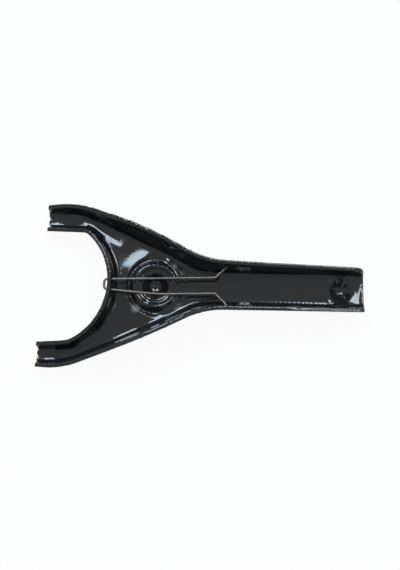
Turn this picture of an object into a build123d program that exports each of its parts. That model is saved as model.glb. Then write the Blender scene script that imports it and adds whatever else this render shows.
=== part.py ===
from build123d import *
import os
from math import asin, atan, atan2, cos, degrees, pi, radians, sin, sqrt, tan

# Clutch release fork: one steel sheet pressed into an open tray, with a wire spring that keeps
# it on its pivot ball. Sizes are in millimetres. The origin is the centre of the seated pivot
# ball, +X runs along the arm, +Z points out of the open side of the tray, and the inside of the
# arm's floor lies at Z 0.

# Sheet
SHEET = 3.2                 # thickness of the steel
BEND = 3.4                  # inner radius where a wall meets the floor

# Reach along the lever
ARM_REACH = 158.9           # ball centre to the end of the arm
PRONG_REACH = 87.7          # ball centre to the prong tips, on average
PRONG_STAGGER = 2.15        # the prong on the -Y side is longer by this, the other shorter

# Opening between the prongs, for the release bearing
OPENING_HALF = 41.9         # half its width at floor level
OPENING_Y = -1.55           # its centre line, a little to one side of the arm's
CROTCH_X = -32.8            # bottom of its round end at floor level
OPENING_MEET = 25.0         # angle at which its round end meets the straight sides
OPENING_SKEW = 6.0          # its round end starts this much nearer the ball on +Y, farther on -Y
OPENING_CORNER = 6.0

# Corners of the outline at floor level, on the outer faces and before they are rounded
ARM_HALF = 15.2             # half the arm's width
NECK_X = 34.5               # where the arm meets the web
SHOULDER_BACK = 21.85       # prong tips to the shoulders, on average
SHOULDER_STAGGER = 3.0      # the -Y shoulder is farther from the ball by this, the other nearer
PRONG_WIDTH = 21.8          # opening to shoulder
PRONG_SET = 0.5             # how far the two shoulders sit to the +Y side of the opening's centre line
WEB_CROWN, WEB_CROWN_PLACE = 0.4, 0.2      # bulge of the web's edge, and its place from neck to shoulder

# Outward lean of the walls for each mm of height
ARM_LEAN = 0.24
WEB_LEAN = 0.27
PRONG_LEAN = 0.25
OPENING_LEAN = 0.24

# Rounding of the corners at floor level, and what it gains for each mm of height
NECK_ROUND, NECK_ROUND_LEAN = 40.0, 1.5
CROWN_ROUND, CROWN_ROUND_LEAN = 32.0, 1.4
SHOULDER_ROUND, SHOULDER_ROUND_LEAN = 60.0, 0.25

# Floor, seen from the side: flat, with the prongs bent back to rolling pads at their tips, and
# the arm's end curled up
PRONG_BEND_BACK = 65.7      # prong tips to the start of the bend
PRONG_BEND = 130.0
PRONG_BEND_ANGLE = 19.8
PAD_RADIUS = 45.0
CURL_BACK, CURL_RADIUS = 5.5, 16.0

# Height of the rim above the floor, at places along the lever
RIM = [
    (-PRONG_REACH - 22, -5),
    (-PRONG_REACH + 4, -2),
    (-PRONG_REACH + 28, 4.5),
    (CROTCH_X - 3.3, 13),
    (-8, 20.5),
    (28, 19.5),
    (64, 15.5),
    (ARM_REACH - 48.5, 12),
    (ARM_REACH + 21.5, 7),
]
RIM_ROUNDS = (7.2, 2.0)     # rim corners at the arm's end, on the +Y side and the -Y side

# Pivot socket: a ball bowl inside a raised ring with a moat around it
BALL_RADIUS = 8.5
BOWL_ANGLE = 60.0           # how far the bowl follows the ball, from its bottom
BOWL_MOUTH = (9.9, 0.15)    # radius and height, as for the four below
RING_CREST = ((15.0, 2.0), (17.4, 2.1))
MOAT_BOTTOM = ((20.2, -2.5), (21.5, -2.5))
MOAT_EDGE = (22.9, 0.0)
MOAT_LAP = 0.7              # share of the moat's outer wall that belongs to the socket

# Push-rod seat near the arm's end
SEAT_BACK = 17.5            # from the arm's end
SEAT_BALL = 6.5             # radius of its bottom
SEAT_ANGLE = 40.0           # slope of its cone
SEAT_MOUTH = 10.3
SEAT_THINNING = 0.6         # what the sheet loses where the seat is drawn

# Stops lanced from the arm's side walls
STOP_X, STOP_LENGTH, STOP_HEIGHT = 62.8, 9.4, 5.0
STOP_Z, STOP_SET = 5.5, 2.2  # height above the floor, and how far the tongue is set in

# Relief notches at the bends of the prong tips
NOTCH_RADIUS = 1.2

# Retaining spring
WIRE = 1.9                  # diameter
WIRE_CLEAR = 0.15           # clearance around it in its holes
WIRE_Z = 8.6
WIRE_BEND = 2.4             # radius of its centre line
LOOP_X, LOOP_SIDES = CROTCH_X - 5.6, (3.1, -4.4)
GRIP = [(-9.3, -6.6), (4.0, -7.3)]      # where the -Y leg bows round the ball's neck
HOOK_X, HOOK_SIDES = 45.5, (6.3, -5.8)
HOOK_RUN = 11.6             # length of each hooked end, along the lever

LOW, HIGH = -16.0, 26.0     # levels between which the walls are ruled
OVERRUN = 2.0               # how far the tray is modelled past its ends before it is trimmed
TIP_X = -PRONG_REACH - PRONG_STAGGER - OVERRUN
HEEL_X = ARM_REACH + OVERRUN
FLOOR_FACING = 0.8          # a face that points down by more than this share is a floor
FAR = 200.0                 # reach of the cutting blocks


def wall(start, end, lean):
    """A wall through two points of the plan: its angle, distance from the ball, and lean."""
    angle = atan2(start[1] - end[1], start[0] - end[0])
    return angle, start[1] * cos(angle) - start[0] * sin(angle), lean


def walls(side):
    """The walls of one side: along the arm, the two runs of the web, and the prong."""
    neck = (NECK_X, ARM_HALF)
    shoulder = (
        -PRONG_REACH + SHOULDER_BACK + side * SHOULDER_STAGGER,
        OPENING_HALF + PRONG_WIDTH + side * (OPENING_Y + PRONG_SET),
    )
    tip = (-PRONG_REACH, shoulder[1])
    run = (shoulder[0] - neck[0], shoulder[1] - neck[1])
    crown = (neck[0] + run[0] * WEB_CROWN_PLACE, neck[1] + run[1] * WEB_CROWN_PLACE + WEB_CROWN)
    return (
        wall((ARM_REACH, ARM_HALF), neck, ARM_LEAN),
        wall(neck, crown, WEB_LEAN),
        wall(crown, shoulder, WEB_LEAN),
        wall(shoulder, tip, PRONG_LEAN),
    )


def meet(first, second, z, inset):
    """The point where two walls cross at height z."""
    (angle, distance, lean), (angle2, distance2, lean2) = first, second
    distance, distance2 = distance + lean * z - inset, distance2 + lean2 * z - inset
    spread = sin(angle2 - angle)
    x = (distance * cos(angle2) - distance2 * cos(angle)) / spread
    y = (distance * sin(angle2) - distance2 * sin(angle)) / spread
    return x, y


def opening(z, inset):
    """Half width, end radius and end centre of the opening at height z."""
    half = OPENING_HALF - OPENING_LEAN * z
    radius = half / cos(radians(OPENING_MEET))
    centre = CROTCH_X - OPENING_HALF / cos(radians(OPENING_MEET))
    return half + inset, radius + inset, centre


def half_outline(z, inset, side):
    """Corners of one half of the outline, as x, y and radius, from the arm's end to the opening."""
    arm, neck, web, prong = walls(side)
    bend = meet(arm, neck, z, inset)
    crown = meet(neck, web, z, inset)
    shoulder = meet(web, prong, z, inset)
    tip_y = shoulder[1] + (TIP_X - shoulder[0]) * tan(prong[0])
    half, radius, centre = opening(z, inset)
    corner_x = centre + side * OPENING_SKEW + sqrt(radius**2 - half**2)
    return [
        (HEEL_X, side * bend[1], 0),
        (bend[0], side * bend[1], NECK_ROUND + NECK_ROUND_LEAN * z + inset),
        (crown[0], side * crown[1], CROWN_ROUND + CROWN_ROUND_LEAN * z - inset),
        (shoulder[0], side * shoulder[1], SHOULDER_ROUND + SHOULDER_ROUND_LEAN * z - inset),
        (TIP_X, side * tip_y, 0),
        (TIP_X, OPENING_Y + side * half, 0),
        (corner_x, OPENING_Y + side * half, OPENING_CORNER + inset),
    ]


def outline(z, inset):
    """The fork's outline at height z, set in from the outer face."""
    corners = half_outline(z, inset, -1)[::-1] + half_outline(z, inset, 1)
    points = [(x, y) for x, y, _ in corners]
    half, radius, centre = opening(z, inset)
    round_end = ThreePointArc(points[-1], (centre + radius, OPENING_Y), points[0])
    face = make_face(Polyline(*points).edges() + round_end.edges())
    for x, y, rounding in corners:
        if rounding:
            face = fillet(face.vertices().sort_by_distance((x, y, 0))[0], rounding)
    return face.moved(Location((0, 0, z)))


def below_floor(depth):
    """Everything below the floor's inner face, lowered by depth."""
    start, end = TIP_X - OVERRUN, HEEL_X + OVERRUN
    bend, pad, curl = PRONG_BEND - depth, PAD_RADIUS + depth, CURL_RADIUS + depth
    bend_x, curl_x = -PRONG_REACH + PRONG_BEND_BACK, ARM_REACH - CURL_BACK
    turn = radians(PRONG_BEND_ANGLE)
    joint = (bend_x - bend * sin(turn), -depth - bend * (1 - cos(turn)))
    pad_centre = (joint[0] - pad * sin(turn), joint[1] + pad * cos(turn))
    rise = asin((pad_centre[0] - start) / pad)
    curl_turn = asin((end - curl_x) / curl)
    tip = (start, pad_centre[1] - pad * cos(rise))
    heel = (end, -depth + curl * (1 - cos(curl_turn)))
    with BuildSketch(Plane.XZ) as region:
        with BuildLine():
            CenterArc(pad_centre, pad, degrees(-pi / 2 - rise), degrees(rise + turn))
            CenterArc((bend_x, -depth - bend), bend, 90, degrees(turn))
            Line((bend_x, -depth), (curl_x, -depth))
            CenterArc((curl_x, -depth + curl), curl, -90, degrees(curl_turn))
            Polyline(heel, (end, -FAR), (start, -FAR), tip)
        make_face()
    return extrude(region.sketch, amount=FAR, both=True)


def tray_block(inset, depth, radius):
    """A solid fork with its lower edges rounded: the outside of the tray, or the space in it."""
    block = loft([outline(LOW, inset), outline(HIGH, inset)], ruled=True) - below_floor(depth)
    floors = [face for face in block.faces() if face.normal_at(face.center()).Z < -FLOOR_FACING]
    edges = [edge for face in floors for edge in face.edges()]
    first, last = TIP_X + OVERRUN / 4, HEEL_X - OVERRUN / 4
    return fillet([edge for edge in edges if first < edge.center().X < last], radius)


def above_rim():
    """Everything above the rim, seen from the side."""
    with BuildSketch(Plane.XZ) as region:
        with BuildLine():
            line = Spline(*RIM)
            Polyline(line @ 1, (RIM[-1][0], FAR), (RIM[0][0], FAR), line @ 0)
        make_face()
    return extrude(region.sketch, amount=FAR, both=True)


def ball_point(radius, angle, centre=0.0):
    """A point on a ball, by its angle from the bottom: radius and height."""
    return radius * sin(radians(angle)), centre - radius * cos(radians(angle))


def moat_wall(share):
    """A point on the moat's outer wall, by its share of the way from the moat's bottom to its edge."""
    (radius, z), (edge_radius, edge_z) = MOAT_BOTTOM[-1], MOAT_EDGE
    return radius + (edge_radius - radius) * share, z + (edge_z - z) * share


def socket_line(share):
    """Draw the inside of the pivot socket, from the bowl's bottom to the moat's outer wall."""
    bowl = CenterArc((0, 0), BALL_RADIUS, -90, BOWL_ANGLE)
    Polyline(bowl @ 1, BOWL_MOUTH, *RING_CREST, *MOAT_BOTTOM, moat_wall(share))


def pivot_socket():
    """The pressed sheet of the pivot ball's seat, with the ring and the moat around it."""
    with BuildLine(Plane.XZ) as profile:
        socket_line(MOAT_LAP)
    sheet = offset(profile.wires()[0], amount=SHEET, side=Side.LEFT, kind=Kind.INTERSECTION, closed=True)
    return revolve(make_face(sheet.edges()), Axis.Z, 360)


def socket_space():
    """The space over the pivot socket."""
    with BuildLine(Plane.XZ) as profile:
        socket_line(2 - MOAT_LAP)
        end = moat_wall(2 - MOAT_LAP)
        Polyline(end, (end[0], HIGH), (0, HIGH), (0, -BALL_RADIUS))
    return revolve(make_face(profile.edges()), Axis.Z, 360)


def seat_block(depth, edge, top):
    """The push-rod seat as a solid: a round end and a cone, grown by depth, then straight up."""
    slope = radians(SEAT_ANGLE)
    centre = SEAT_BALL / cos(slope) - SEAT_MOUTH * tan(slope)
    start = ball_point(SEAT_BALL + depth, SEAT_ANGLE, centre)
    mouth = start[0] + (edge - start[1]) / tan(slope)
    with BuildLine(Plane.XZ) as profile:
        CenterArc((0, centre), SEAT_BALL + depth, -90, SEAT_ANGLE)
        Polyline(start, (mouth, edge), (mouth, top), (0, top), (0, centre - SEAT_BALL - depth))
    return Pos(ARM_REACH - SEAT_BACK, 0, 0) * revolve(make_face(profile.edges()), Axis.Z, 360)


def beyond_ends():
    """Blocks past the arm's end and past each prong tip."""
    past_arm = Pos(ARM_REACH, 0, 0) * Box(FAR, FAR, FAR, align=(Align.MIN, Align.CENTER, Align.CENTER))
    blocks = [past_arm]
    for side in (1, -1):
        tip = -PRONG_REACH + side * PRONG_STAGGER
        block = Box(FAR, FAR, FAR, align=(Align.MAX, Align.MIN if side > 0 else Align.MAX, Align.CENTER))
        blocks.append(Pos(tip, 0, 0) * block)
    return blocks


def rim_corners():
    """What is rounded off the rim at the arm's end."""
    (before, before_height), (after, after_height) = RIM[-2:]
    fall = (after_height - before_height) / (after - before)
    end_height = before_height + (ARM_REACH - before) * fall
    corners = []
    for side, radius in zip((1, -1), RIM_ROUNDS):
        square = Pos(ARM_REACH, 0, end_height) * Box(2 * radius, 2 * ARM_HALF, 2 * radius)
        centre = Pos(ARM_REACH - radius, 0, end_height - radius)
        disc = centre * Rot(90, 0, 0) * Cylinder(radius, 3 * ARM_HALF)
        corners.append(Pos(0, side * (ARM_HALF + BEND), 0) * (square - disc))
    return corners


def tip_notches():
    """Half-round nicks where the walls bend up at the prong tips."""
    notches = []
    for side in (1, -1):
        tip = -PRONG_REACH + side * PRONG_STAGGER
        inner = OPENING_HALF + SHEET + BEND
        outer = OPENING_HALF + PRONG_WIDTH + side * PRONG_SET - 2 * SHEET - BEND
        for y in (inner, outer):
            notches.append(Pos(tip, OPENING_Y + side * y, 0) * Cylinder(NOTCH_RADIUS, FAR))
    return notches


def side_stop(side):
    """A tongue lanced from the arm's wall and set inwards, and the window that it leaves."""
    tongue_outline = [
        (0, 0),
        (STOP_SET, -STOP_SET),
        (STOP_LENGTH, -STOP_SET),
        (STOP_LENGTH, -STOP_SET - SHEET),
        (STOP_SET, -STOP_SET - SHEET),
        (0, -SHEET),
    ]
    tongue_face = make_face(Polyline(*tongue_outline, close=True).edges())
    tongue = extrude(tongue_face, amount=STOP_HEIGHT, dir=(0, 0, 1))
    window = Box(STOP_LENGTH, 4 * SHEET, STOP_HEIGHT, align=(Align.MIN, Align.CENTER, Align.MIN))
    lean = degrees(atan(ARM_LEAN))
    place = Pos(STOP_X, ARM_HALF + ARM_LEAN * STOP_Z, STOP_Z) * Rot(-lean, 0, 0)
    window, tongue = place * window, place * tongue
    if side > 0:
        return window, tongue
    return mirror(window, Plane.XZ), mirror(tongue, Plane.XZ)


def wire_route():
    """Centre line of the spring: hooked end, leg, closed loop, leg, hooked end."""
    upper, lower = HOOK_SIDES
    points = [
        (HOOK_X + HOOK_RUN, upper + HOOK_RUN),
        (HOOK_X, upper),
        (LOOP_X, LOOP_SIDES[0]),
        (LOOP_X, LOOP_SIDES[1]),
        *GRIP,
        (HOOK_X, lower),
        (HOOK_X + HOOK_RUN, lower - HOOK_RUN),
    ]
    return [(x, y, WIRE_Z) for x, y in points]


def retaining_spring():
    """The wire clip that holds the pivot ball in its socket."""
    path = FilletPolyline(*wire_route(), radius=WIRE_BEND)
    return sweep(Plane(origin=path @ 0, z_dir=path % 0) * Circle(WIRE / 2), path=path)


def wire_holes():
    """Where the spring passes through the wall behind the opening and through the side walls."""
    route = [Vector(*point) for point in wire_route()]
    holes = []
    for start, end in ((route[2], route[1]), (route[3], route[4])):
        holes.append((start, (end - start).normalized(), CROTCH_X - LOOP_X + 3 * SHEET))
    for corner, end in ((route[1], route[0]), (route[-2], route[-1])):
        holes.append((corner, (end - corner).normalized(), 2 * HOOK_RUN))
    radius = WIRE / 2 + WIRE_CLEAR
    align = (Align.CENTER, Align.CENTER, Align.MIN)
    return [Plane(origin=o, z_dir=d) * Cylinder(radius, length, align=align) for o, d, length in holes]


def fork_lever():
    """The whole pressing."""
    tray = tray_block(0, SHEET, BEND + SHEET) - tray_block(SHEET * sqrt(1 + ARM_LEAN**2), 0, BEND)
    tray -= above_rim()
    tray = tray - Cylinder(MOAT_BOTTOM[-1][0], 3 * SHEET) + pivot_socket() - socket_space()
    tray = tray + seat_block(SHEET - SEAT_THINNING, -SHEET / 2, -SHEET / 4) - seat_block(0, 0, SHEET)
    for side in (1, -1):
        window, tongue = side_stop(side)
        tray = tray - window + tongue
    for cut in beyond_ends() + rim_corners() + tip_notches() + wire_holes():
        tray -= cut
    return tray


os.makedirs("parts", exist_ok=True)
export_step(fork_lever(), "parts/fork_lever.step")
export_step(retaining_spring(), "parts/retaining_spring.step")
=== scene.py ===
import math

import bmesh
import bpy
from mathutils import Matrix, Vector


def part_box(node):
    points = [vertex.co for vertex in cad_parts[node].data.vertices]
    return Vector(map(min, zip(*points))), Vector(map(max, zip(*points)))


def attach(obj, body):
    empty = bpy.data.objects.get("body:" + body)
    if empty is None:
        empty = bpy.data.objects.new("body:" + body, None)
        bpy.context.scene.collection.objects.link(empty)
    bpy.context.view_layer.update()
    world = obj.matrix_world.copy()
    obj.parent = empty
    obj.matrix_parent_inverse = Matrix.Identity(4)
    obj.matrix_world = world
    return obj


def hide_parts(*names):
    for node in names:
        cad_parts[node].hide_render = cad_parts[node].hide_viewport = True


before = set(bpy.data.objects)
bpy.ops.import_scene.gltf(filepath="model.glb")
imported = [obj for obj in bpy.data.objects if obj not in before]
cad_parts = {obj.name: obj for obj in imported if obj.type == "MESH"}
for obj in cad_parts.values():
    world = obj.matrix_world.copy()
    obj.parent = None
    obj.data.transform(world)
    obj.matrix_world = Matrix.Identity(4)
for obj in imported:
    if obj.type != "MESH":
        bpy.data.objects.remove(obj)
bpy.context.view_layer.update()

# The camera looks down into the tray from 8.5 degrees off straight above, and is rolled a
# little, so that the arm runs slightly down to the right of the picture.
TILT, ROLL = math.radians(8.5), math.radians(1.5)
LOOKED_AT = Vector((0.0340, 0.0017, 0.0))
CAMERA_DISTANCE = 0.700
MM_PER_PIXEL, PICTURE_WIDTH = 0.765, 400
SENSOR_WIDTH = 36

away = Vector((0, -math.sin(TILT), math.cos(TILT)))
upright = Vector((0, math.cos(TILT), math.sin(TILT)))
sideways = Vector((math.cos(ROLL), 0, 0)) + upright * math.sin(ROLL)
upright = away.cross(sideways)
camera = bpy.data.objects.new("camera", bpy.data.cameras.new("camera"))
bpy.context.scene.collection.objects.link(camera)
camera.matrix_world = Matrix.Translation(LOOKED_AT + away * CAMERA_DISTANCE) @ Matrix(
    (sideways, upright, away)
).transposed().to_4x4()
camera.data.sensor_fit = "HORIZONTAL"
camera.data.sensor_width = SENSOR_WIDTH
camera.data.lens = SENSOR_WIDTH * CAMERA_DISTANCE * 1000 / (PICTURE_WIDTH * MM_PER_PIXEL)
bpy.context.scene.camera = camera
bpy.context.scene.view_settings.view_transform = "Standard"

# Fork lever: one steel sheet pressed into a tray, with a ball socket drawn into its web. It was
# dipped in thick black enamel, which rounded every cut edge and dried with a fine orange peel.
EVEN_PITCH = 0.00080
SMOOTH_SHARE, SOFTENING = 0.5, 4
MERGE_DISTANCE = 0.000005
REMESH_TURN, REMESH_AXIS = 0.7, (0.6, 0.5, 0.62)


def node_copy(cad_name, name):
    """A merged, smooth copy of a CAD node's mesh as a piece of its own."""
    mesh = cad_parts[cad_name].data.copy()
    shape = bmesh.new()
    shape.from_mesh(mesh)
    bmesh.ops.remove_doubles(shape, verts=shape.verts, dist=MERGE_DISTANCE)
    bmesh.ops.recalc_face_normals(shape, faces=shape.faces)
    for face in shape.faces:
        face.smooth = True
    shape.to_mesh(mesh)
    shape.free()
    piece = bpy.data.objects.new(name, mesh)
    bpy.context.scene.collection.objects.link(piece)
    mesh.materials.clear()
    return piece


def round_edges(piece):
    """Give the piece an even mesh with its edges rounded by the enamel.

    It is turned for this, so that its straight edges don't run along the mesh's rows."""
    turn = Matrix.Rotation(REMESH_TURN, 4, REMESH_AXIS)
    piece.data.transform(turn)
    even = piece.modifiers.new("even", "REMESH")
    even.mode = "VOXEL"
    even.voxel_size = EVEN_PITCH
    even.use_smooth_shade = True
    soften = piece.modifiers.new("soften", "SMOOTH")
    soften.factor = SMOOTH_SHARE
    soften.iterations = SOFTENING
    graph = bpy.context.evaluated_depsgraph_get()
    piece.data = bpy.data.meshes.new_from_object(piece.evaluated_get(graph))
    piece.modifiers.clear()
    piece.data.transform(turn.inverted())


# The press left soft forms beside its deep draws. The web's floor falls away and is creased, the
# socket's ring is hollow and its moat shallower toward the arm, the arm's floor is dished past
# the seat, its -Y rim is rolled over, and the web's +Y rim has three kinks where it gathered.
LIP, FALL, FALL_REACH = 0.0229, 0.0020, 0.0072
FALL_ENDS, FALL_SIDE = (-0.066, -0.046), (0.0, 0.5)
CREASE, CREASE_RUN, CREASE_TURN = (-0.0566, 0.0490), 0.037, -0.571
CREASE_STEP, CREASE_HALF, CREASE_FADE = 0.00050, 0.0015, 0.016
CREASE_HEAD, CREASE_TAIL = (-0.003, 0.004), 0.012
HOLLOW, HOLLOW_RING = 0.00065, (0.0099, 0.0156)
MOAT_FILL, MOAT_RING, MOAT_SIDE = 0.0022, (0.0170, 0.0248), (0.0, 0.5)
FLOOR_TOP, WALL_FOOT = 0.0012, 0.0070
DISH_TURN, DISH_FROM, DISH_RADIUS = -0.60, 0.0070, 0.030
ROLL_SLOPE, ROLL_ENDS, ROLL_EDGE = 0.36, (0.098, 0.112), -0.0174
ROLL_RIM, ROLL_RIM_SLOPE = 0.0128, 0.0714
ROLL_INNER, ROLL_DEPTHS = -0.0125, (0.0028, 0.0010)
KINKS = (-0.0115, 0.0165, 0.0235)
KINK_WIDTH, KINK_DEPTH, KINK_HEIGHT = 0.0022, 0.00055, (0.0145, 0.0165)
SOFT_RING, SOFT_CEILING = (0.0165, 0.0255), 0.0028
MOAT_SOFT, MOAT_SOFT_SIDE = (0.05, 0.5), (-0.7, 0.3)
SEAT_X, SEAT_RIM, SEAT_SOFT = 0.1414, (0.0080, 0.0135), 0.5
SOFT_TURNS = 60


def ramp(value, start, end):
    """0 before start, 1 after end, and smooth between them."""
    share = min(1.0, max(0.0, (value - start) / (end - start)))
    return share * share * (3 - 2 * share)


def softness(point):
    """How soft the press left the sheet in the moat, more toward the arm, and at the seat's mouth."""
    radius = math.hypot(point.x, point.y)
    if point.z < SOFT_CEILING and SOFT_RING[0] < radius < SOFT_RING[1]:
        share = ramp(point.x / radius, *MOAT_SOFT_SIDE)
        return MOAT_SOFT[0] + (MOAT_SOFT[1] - MOAT_SOFT[0]) * share
    if SEAT_RIM[0] < math.hypot(point.x - SEAT_X, point.y) < SEAT_RIM[1]:
        return SEAT_SOFT
    return 0.0


def turned(x, y, angle):
    """Distances along and across a line turned by an angle from +X."""
    return x * math.cos(angle) + y * math.sin(angle), y * math.cos(angle) - x * math.sin(angle)


def press_marks(point):
    """How far the press marks lift a point of the sheet."""
    radius = math.hypot(point.x, point.y)
    on_floor = 1 - ramp(point.z, FLOOR_TOP, WALL_FOOT)
    lift = 0.0
    if radius > LIP and point.x < 0:
        share = ramp(-point.x / radius, *FALL_SIDE) * ramp(point.x, *FALL_ENDS) * on_floor
        lift -= FALL * (1 - math.exp((LIP - radius) / FALL_REACH)) * share
    along, across = turned(point.x - CREASE[0], point.y - CREASE[1], CREASE_TURN)
    tail = 1 - ramp(along, CREASE_RUN - CREASE_TAIL, CREASE_RUN)
    share = ramp(along, *CREASE_HEAD) * tail * on_floor
    step = ramp(across, -CREASE_HALF, CREASE_HALF) - ramp(across, CREASE_HALF, CREASE_FADE)
    lift -= CREASE_STEP * step * share
    if HOLLOW_RING[0] < radius < HOLLOW_RING[1]:
        share = (radius - HOLLOW_RING[0]) / (HOLLOW_RING[1] - HOLLOW_RING[0])
        lift -= HOLLOW * math.sin(math.pi * share) ** 2
    if MOAT_RING[0] < radius < MOAT_RING[1]:
        share = (radius - MOAT_RING[0]) / (MOAT_RING[1] - MOAT_RING[0])
        fill = MOAT_FILL * math.sin(math.pi * share) ** 2 * on_floor
        lift += fill * ramp(point.x / radius, *MOAT_SIDE)
    dish = turned(point.x - SEAT_X, point.y, DISH_TURN)[0] - DISH_FROM
    if point.x > SEAT_X and dish > 0:
        lift += dish ** 2 / (2 * DISH_RADIUS) * on_floor
    if point.y < ROLL_INNER:
        rim = ROLL_RIM - ROLL_RIM_SLOPE * (point.x - ROLL_ENDS[0])
        top = ramp(point.z, rim - ROLL_DEPTHS[0], rim - ROLL_DEPTHS[1])
        share = ramp(point.x, *ROLL_ENDS) * top
        lift -= ROLL_SLOPE * max(0.0, point.y - ROLL_EDGE) * share
    if point.y > 0:
        kink = sum(math.exp(-(((point.x - place) / KINK_WIDTH) ** 2)) for place in KINKS)
        lift -= KINK_DEPTH * kink * ramp(point.z, *KINK_HEIGHT)
    return lift


fork = node_copy("fork_lever", "fork_pressing")
round_edges(fork)
shape = bmesh.new()
shape.from_mesh(fork.data)
soft = [(softness(vert.co), vert) for vert in shape.verts]
for turn in range(SOFT_TURNS):
    verts = [vert for share, vert in soft if share * SOFT_TURNS > turn]
    bmesh.ops.smooth_vert(
        shape, verts=verts, factor=SMOOTH_SHARE, use_axis_x=True, use_axis_y=True, use_axis_z=True
    )
for vert in shape.verts:
    vert.co.z += press_marks(vert.co)
for face in shape.faces:
    face.smooth = True
shape.to_mesh(fork.data)
shape.free()

# The enamel is glossy, with fine peel over longer waves. Two spots beside the socket are painted
# highlights in grey with duller gloss, and the corners of the side stops are lighter grey and duller.
# The second colour is the grey of the spots: beside the socket it is a painted highlight, at the side
# stops a lighter grey.
ENAMEL, SPOT_GREY = (0.0105, 0.0110, 0.0120, 1), (0.36, 0.35, 0.34, 1)
ENAMEL_IOR, GLOSS = 1.65, 0.09
SPOT_AND_EDGE_DULLNESS, SPOT_CORE, SPOT_NOISE_SCALE = 0.60, 0.3, 700
EDGE_BEND, EDGE_DULLNESS = (0.56, 0.62), 0.70
PEEL_SCALE, PEEL_DEPTH = 620, 0.000020
WAVE_SCALE, WAVE_DEPTH = 170, 0.000045
# Grey spots, each a centre and a size: the first two, beside the socket, are painted highlights; the
# last three sit at the corners of the side stops.
HIGHLIGHT_AND_GREY_SPOTS = [
    ((-0.0150, -0.0175, -0.0008), 0.0042),
    ((0.0140, 0.0155, -0.0010), 0.0034),
    ((0.0632, 0.0126, 0.0098), 0.0034),
    ((0.0650, -0.0122, 0.0098), 0.0030),
    ((0.0690, -0.0122, 0.0098), 0.0030),
]


def painted(name, color, roughness, metallic=0.0):
    """A new material, its node tree and its shader."""
    material = bpy.data.materials.new(name)
    material.use_nodes = True
    tree = material.node_tree
    shader = tree.nodes["Principled BSDF"]
    shader.inputs["Base Color"].default_value = color
    shader.inputs["Roughness"].default_value = roughness
    shader.inputs["Metallic"].default_value = metallic
    return material, tree, shader


def node(tree, kind, inputs, **settings):
    """A shader node, each of its inputs linked to a socket or set to a value."""
    made = tree.nodes.new(kind)
    for setting, value in settings.items():
        setattr(made, setting, value)
    for key, value in inputs.items():
        if isinstance(value, bpy.types.NodeSocket):
            tree.links.new(value, made.inputs[key])
        else:
            made.inputs[key].default_value = value
    return made.outputs


def ripples(tree, shader, where, scale, depth, below=None):
    """Noise of one scale as a bump on the shader, laid over the bump below it."""
    height = node(tree, "ShaderNodeTexNoise", {"Vector": where, "Scale": scale, "Detail": 2.0})
    inputs = {"Height": height[0], "Strength": 1.0, "Distance": depth}
    if below:
        inputs["Normal"] = below
    bump = node(tree, "ShaderNodeBump", inputs)[0]
    tree.links.new(bump, shader.inputs["Normal"])
    return bump


enamel, tree, shader = painted("black_enamel", ENAMEL, GLOSS)
shader.inputs["IOR"].default_value = ENAMEL_IOR
where = node(tree, "ShaderNodeTexCoord", {})["Object"]
waves = ripples(tree, shader, where, WAVE_SCALE, WAVE_DEPTH)
ripples(tree, shader, where, PEEL_SCALE, PEEL_DEPTH, waves)
spot_noise = node(tree, "ShaderNodeTexNoise", {"Vector": where, "Scale": SPOT_NOISE_SCALE, "Detail": 4.0})[0]
# Grey is mixed into the black at the spots, with duller gloss: painted highlights beside the socket,
# lighter grey at the side stops.
spot_mask = 0.0
for place, size in HIGHLIGHT_AND_GREY_SPOTS:
    reach = node(tree, "ShaderNodeVectorMath", {0: where, 1: place}, operation="DISTANCE")["Value"]
    near = node(tree, "ShaderNodeMapRange", {0: reach, 1: size, 2: size * SPOT_CORE})[0]
    spot_share = node(tree, "ShaderNodeMath", {0: near, 1: spot_noise}, operation="MULTIPLY")[0]
    spot_mask = node(tree, "ShaderNodeMath", {0: spot_mask, 1: spot_share}, operation="MAXIMUM")[0]
tint = node(tree, "ShaderNodeMix", {0: spot_mask, 6: ENAMEL, 7: SPOT_GREY}, data_type="RGBA")[2]
tree.links.new(tint, shader.inputs["Base Color"])
bend = node(tree, "ShaderNodeNewGeometry", {})["Pointiness"]
ends = {0: bend, 1: EDGE_BEND[0], 2: EDGE_BEND[1], 4: EDGE_DULLNESS}
edge = node(tree, "ShaderNodeMapRange", ends)[0]
uneven = node(tree, "ShaderNodeMath", {0: spot_mask, 1: edge}, operation="MAXIMUM")[0]
dull = node(tree, "ShaderNodeMapRange", {0: uneven, 3: GLOSS, 4: SPOT_AND_EDGE_DULLNESS})[0]
tree.links.new(dull, shader.inputs["Roughness"])

fork.data.materials.clear()
fork.data.materials.append(enamel)
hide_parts("fork_lever")
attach(fork, "root")

# Retaining spring: one drawn steel wire, bare and slightly browned, bent into a long clip and
# sprung into holes in the walls. It keeps the pivot ball in its socket.
WIRE_BROWN, WIRE_GREY = (0.150, 0.122, 0.102, 1), (0.290, 0.258, 0.228, 1)
WIRE_DULLNESS, STAIN_SCALE = 0.42, 260
DRAW_SCALE, DRAW_DEPTH = 1400, 0.00001

wire, tree, shader = painted("spring_wire", WIRE_GREY, WIRE_DULLNESS, metallic=1.0)
where = node(tree, "ShaderNodeTexCoord", {})["Object"]
stain = node(tree, "ShaderNodeTexNoise", {"Vector": where, "Scale": STAIN_SCALE, "Detail": 4.0})[0]
tint = node(tree, "ShaderNodeMix", {0: stain, 6: WIRE_BROWN, 7: WIRE_GREY}, data_type="RGBA")[2]
tree.links.new(tint, shader.inputs["Base Color"])
ripples(tree, shader, where, DRAW_SCALE, DRAW_DEPTH)
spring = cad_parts["retaining_spring"]
spring.data.materials.clear()
spring.data.materials.append(wire)

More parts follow.
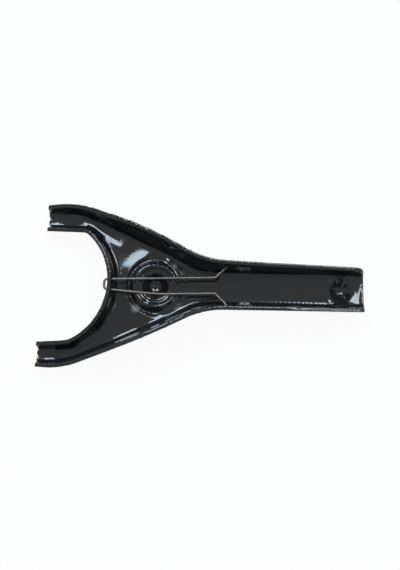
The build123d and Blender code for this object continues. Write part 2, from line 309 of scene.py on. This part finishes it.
# Floor: white paper that the fork lies on. Seen straight, in a reflection or through glass it is
# nearly pure white, and it still takes the fork's shadow.
FLOOR_GAP, FLOOR_HALF = 0.0002, 4.0
FLOOR_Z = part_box("fork_lever")[0].z - FLOOR_GAP
PAPER_WHITE, PAPER_DULLNESS, FLOOR_GLOW = (0.90, 0.90, 0.90, 1), 0.9, 0.94

sheet = bmesh.new()
bmesh.ops.create_grid(sheet, x_segments=1, y_segments=1, size=FLOOR_HALF)
bmesh.ops.translate(sheet, verts=sheet.verts, vec=(0, 0, FLOOR_Z))
floor_mesh = bpy.data.meshes.new("floor")
sheet.to_mesh(floor_mesh)
sheet.free()
floor = bpy.data.objects.new("floor", floor_mesh)
bpy.context.scene.collection.objects.link(floor)
paper, tree, shader = painted("white_paper", PAPER_WHITE, PAPER_DULLNESS)
light = node(tree, "ShaderNodeEmission", {"Color": (1, 1, 1, 1)})[0]
ray = node(tree, "ShaderNodeLightPath", {})
seen = ray["Is Camera Ray"]
for kind in ("Is Glossy Ray", "Is Transmission Ray"):
    seen = node(tree, "ShaderNodeMath", {0: seen, 1: ray[kind]}, operation="MAXIMUM")[0]
share = node(tree, "ShaderNodeMath", {0: seen, 1: FLOOR_GLOW}, operation="MULTIPLY")[0]
blend = node(tree, "ShaderNodeMixShader", {0: share, 1: shader.outputs[0], 2: light})[0]
tree.links.new(blend, tree.nodes["Material Output"].inputs["Surface"])
floor_mesh.materials.append(paper)

# Room: a cool window behind the fork and to its left, a tall narrow pane straight behind it,
# two small ceiling lamps, and even light from all round.
WINDOW_BLUE, LAMP_WHITE = (0.72, 0.87, 1.0), (1.0, 0.97, 0.93)
LAMP_AWAY = 2.0
ROOM_WHITE, ROOM_STRENGTH = (0.96, 0.98, 1.0, 1), 0.40


def softbox(name, azimuths, elevations, color, strength):
    """A rectangular lamp that faces the fork and fills a range of angles seen from it."""
    azimuth, elevation = (math.radians(sum(ends) / 2) for ends in (azimuths, elevations))
    half_width, half_height = (math.radians(ends[1] - ends[0]) / 2 for ends in (azimuths, elevations))
    level = Vector((math.cos(azimuth), math.sin(azimuth), 0)) * math.cos(elevation)
    direction = level + Vector((0, 0, math.sin(elevation)))
    lamp = bpy.data.objects.new(name, bpy.data.lights.new(name, "AREA"))
    bpy.context.scene.collection.objects.link(lamp)
    lamp.location = direction * LAMP_AWAY + LOOKED_AT
    lamp.rotation_euler = direction.to_track_quat("Z", "Y").to_euler()
    lamp.data.shape = "RECTANGLE"
    lamp.data.size = 2 * LAMP_AWAY * math.cos(elevation) * math.tan(half_width)
    lamp.data.size_y = 2 * LAMP_AWAY * math.tan(half_height)
    lamp.data.color = color
    lamp.data.energy = strength * math.pi * lamp.data.size * lamp.data.size_y


softbox("window", (102, 134), (42, 67), WINDOW_BLUE, 10)
softbox("pane", (71.0, 76.0), (12, 60), WINDOW_BLUE, 13)
softbox("ceiling_lamp_a", (44, 60), (42, 58), LAMP_WHITE, 11)
softbox("ceiling_lamp_b", (330, 338), (62, 68), LAMP_WHITE, 6)

world = bpy.data.worlds.new("room")
world.use_nodes = True
background = world.node_tree.nodes["Background"]
background.inputs["Color"].default_value = ROOM_WHITE
background.inputs["Strength"].default_value = ROOM_STRENGTH
bpy.context.scene.world = world
